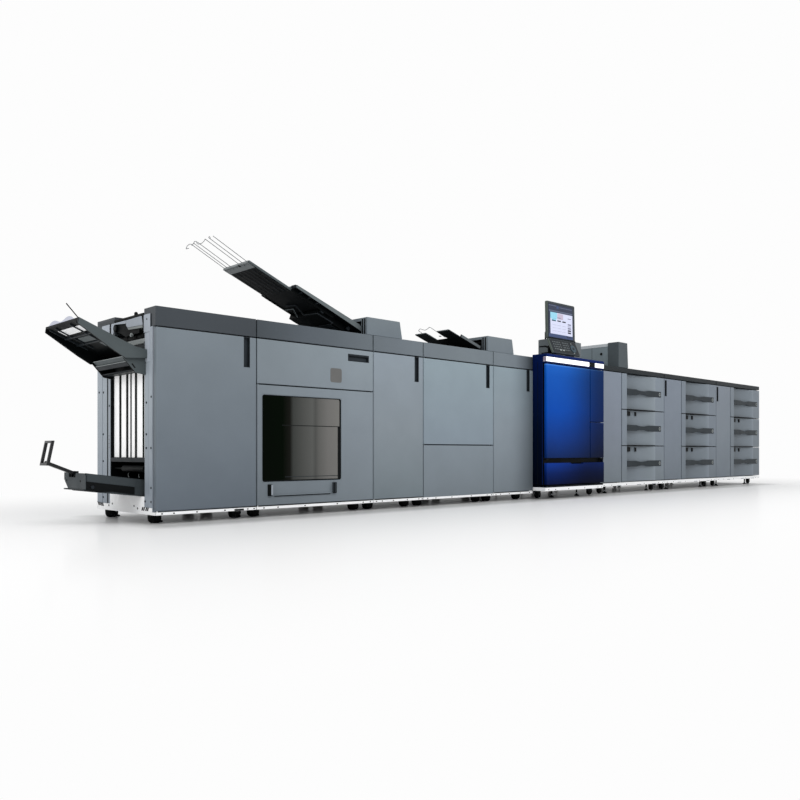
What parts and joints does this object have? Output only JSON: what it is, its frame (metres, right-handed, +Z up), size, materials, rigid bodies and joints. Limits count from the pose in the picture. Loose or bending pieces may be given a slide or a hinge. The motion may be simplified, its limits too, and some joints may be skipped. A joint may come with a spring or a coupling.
{
  "type": "digital production press line",
  "caption": "Line of floor-standing print cabinets: booklet finisher, window stacker, inserter, folder and relay units, blue print engine with tilting panel, and drawer feeders.",
  "frame": {"origin": "bottom centre of the whole line's box, on the floor", "axes": "+X along the line from the booklet end to the feeders, +Y from the front to the back, +Z up"},
  "size_m": [7.4248, 0.783, 1.4704],
  "materials": {
    "black_plastic": "black moulded plastic",
    "bright_steel": "plated steel",
    "dark_cover": "charcoal moulded cover",
    "engine_blue": "glossy blue coat",
    "engine_navy": "dark blue coat",
    "frame_steel": "light grey painted sheet steel",
    "light_white": "lit white diffuser",
    "liner": "warm grey inner sheet",
    "panel_paint": "satin grey-blue powder coat",
    "rubber_black": "black caster tread",
    "smoked_glass": "smoked acrylic window",
    "white_paint": "white painted steel"
  },
  "bodies": {
    "line": {"booklet_case": "frame_steel", "booklet_cover": "dark_cover", "slat_panel": "white_paint", "slat_bars": "black_plastic", "end_plate": "white_paint", "exit_unit": "frame_steel", "upper_tray": "dark_cover", "conveyor": "dark_cover", "stacker_case": "frame_steel", "stacker_liner": "liner", "stacker_lift": "black_plastic", "stacker_panel": "panel_paint", "folder_panel": "panel_paint", "unit_cases": "frame_steel", "unit_covers": "dark_cover", "exit_towers": "panel_paint", "long_tray": "black_plastic", "tray_slide": "dark_cover", "tray_wires": "bright_steel", "small_tray": "black_plastic", "engine_case": "engine_navy", "engine_cap": "engine_blue", "light_bar": "light_white", "panel_post": "dark_cover", "feeder_tower": "panel_paint", "tower_front": "dark_cover", "feeder_caps": "dark_cover", "feeder_case_1": "frame_steel", "feeder_case_2": "frame_steel", "feeder_case_3": "frame_steel", "base_frames": "white_paint", "casters": "rubber_black", "levelling_feet": "black_plastic", "dock_plates": "frame_steel"},
    "booklet_door": {"booklet_door": "panel_paint"},
    "stacker_door": {"stacker_door": "panel_paint", "stacker_window": "smoked_glass", "stacker_rail": "bright_steel"},
    "inserter_door": {"inserter_door": "panel_paint"},
    "folder_door": {"folder_door": "panel_paint"},
    "relay_door": {"relay_door": "panel_paint"},
    "engine_door": {"engine_door": "engine_blue"},
    "side_door_upper": {"side_door_upper": "engine_blue"},
    "side_door_lower": {"side_door_lower": "engine_blue"},
    "engine_drawer": {"engine_drawer": "engine_blue"},
    "control_panel": {"control_panel": "dark_cover"},
    "stop_arm": {"stop_arm": "black_plastic"},
    "blank_door_1": {"blank_door_1": "panel_paint"},
    "blank_door_2": {"blank_door_2": "panel_paint"},
    "blank_door_3": {"blank_door_3": "panel_paint"},
    "drawer_1a": {"drawer_1a": "panel_paint"},
    "drawer_1b": {"drawer_1b": "panel_paint"},
    "drawer_1c": {"drawer_1c": "panel_paint"},
    "drawer_2a": {"drawer_2a": "panel_paint"},
    "drawer_2b": {"drawer_2b": "panel_paint"},
    "drawer_2c": {"drawer_2c": "panel_paint"},
    "drawer_3a": {"drawer_3a": "panel_paint"},
    "drawer_3b": {"drawer_3b": "panel_paint"},
    "drawer_3c": {"drawer_3c": "panel_paint"}
  },
  "joints": [
    {"name": "booklet_door_hinge", "type": "hinge", "parent": "line", "child": "booklet_door", "pos_m": [-3.28863, -0.2655, 0.5], "axis": [0, 0, -1], "range_deg": [0, 90]},
    {"name": "stacker_door_hinge", "type": "hinge", "parent": "line", "child": "stacker_door", "pos_m": [-2.72463, -0.2655, 0.38], "axis": [0, 0, -1], "range_deg": [0, 90]},
    {"name": "inserter_door_hinge", "type": "hinge", "parent": "line", "child": "inserter_door", "pos_m": [-1.90663, -0.2655, 0.5], "axis": [0, 0, -1], "range_deg": [0, 90]},
    {"name": "folder_door_hinge", "type": "hinge", "parent": "line", "child": "folder_door", "pos_m": [-1.48263, -0.2655, 0.66], "axis": [0, 0, -1], "range_deg": [0, 90]},
    {"name": "relay_door_hinge", "type": "hinge", "parent": "line", "child": "relay_door", "pos_m": [-0.79163, -0.2655, 0.5], "axis": [0, 0, -1], "range_deg": [0, 90]},
    {"name": "engine_door_hinge", "type": "hinge", "parent": "line", "child": "engine_door", "pos_m": [-0.33863, -0.3835, 0.64], "axis": [0, 0, -1], "range_deg": [0, 90]},
    {"name": "side_door_upper_hinge", "type": "hinge", "parent": "line", "child": "side_door_upper", "pos_m": [0.40687, -0.3835, 0.78], "axis": [0, 0, 1], "range_deg": [0, 90]},
    {"name": "side_door_lower_hinge", "type": "hinge", "parent": "line", "child": "side_door_lower", "pos_m": [0.40687, -0.3835, 0.44], "axis": [0, 0, 1], "range_deg": [0, 90]},
    {"name": "engine_drawer_slide", "type": "slide", "parent": "line", "child": "engine_drawer", "axis": [0, -1, 0], "range_m": [0, 0.35]},
    {"name": "blank_door_1_hinge", "type": "hinge", "parent": "line", "child": "blank_door_1", "pos_m": [0.86887, -0.2655, 0.55], "axis": [0, 0, 1], "range_deg": [0, 90]},
    {"name": "blank_door_2_hinge", "type": "hinge", "parent": "line", "child": "blank_door_2", "pos_m": [1.92388, -0.2655, 0.55], "axis": [0, 0, 1], "range_deg": [0, 90]},
    {"name": "blank_door_3_hinge", "type": "hinge", "parent": "line", "child": "blank_door_3", "pos_m": [2.97887, -0.2655, 0.55], "axis": [0, 0, 1], "range_deg": [0, 90]},
    {"name": "drawer_1a_slide", "type": "slide", "parent": "line", "child": "drawer_1a", "axis": [0, -1, 0], "range_m": [0, 0.45]},
    {"name": "drawer_1b_slide", "type": "slide", "parent": "line", "child": "drawer_1b", "axis": [0, -1, 0], "range_m": [0, 0.45]},
    {"name": "drawer_1c_slide", "type": "slide", "parent": "line", "child": "drawer_1c", "axis": [0, -1, 0], "range_m": [0, 0.45]},
    {"name": "drawer_2a_slide", "type": "slide", "parent": "line", "child": "drawer_2a", "axis": [0, -1, 0], "range_m": [0, 0.45]},
    {"name": "drawer_2b_slide", "type": "slide", "parent": "line", "child": "drawer_2b", "axis": [0, -1, 0], "range_m": [0, 0.45]},
    {"name": "drawer_2c_slide", "type": "slide", "parent": "line", "child": "drawer_2c", "axis": [0, -1, 0], "range_m": [0, 0.45]},
    {"name": "drawer_3a_slide", "type": "slide", "parent": "line", "child": "drawer_3a", "axis": [0, -1, 0], "range_m": [0, 0.45]},
    {"name": "drawer_3b_slide", "type": "slide", "parent": "line", "child": "drawer_3b", "axis": [0, -1, 0], "range_m": [0, 0.45]},
    {"name": "drawer_3c_slide", "type": "slide", "parent": "line", "child": "drawer_3c", "axis": [0, -1, 0], "range_m": [0, 0.45]},
    {"name": "panel_tilt", "type": "hinge", "parent": "line", "child": "control_panel", "pos_m": [0.01312, -0.2735, 1.17], "axis": [1, 0, 0], "range_deg": [-15, 4]},
    {"name": "stop_arm_pivot", "type": "hinge", "parent": "line", "child": "stop_arm", "pos_m": [-3.56288, 0.0245, 0.243], "axis": [0, 1, 0], "range_deg": [0, 60]}
  ]
}
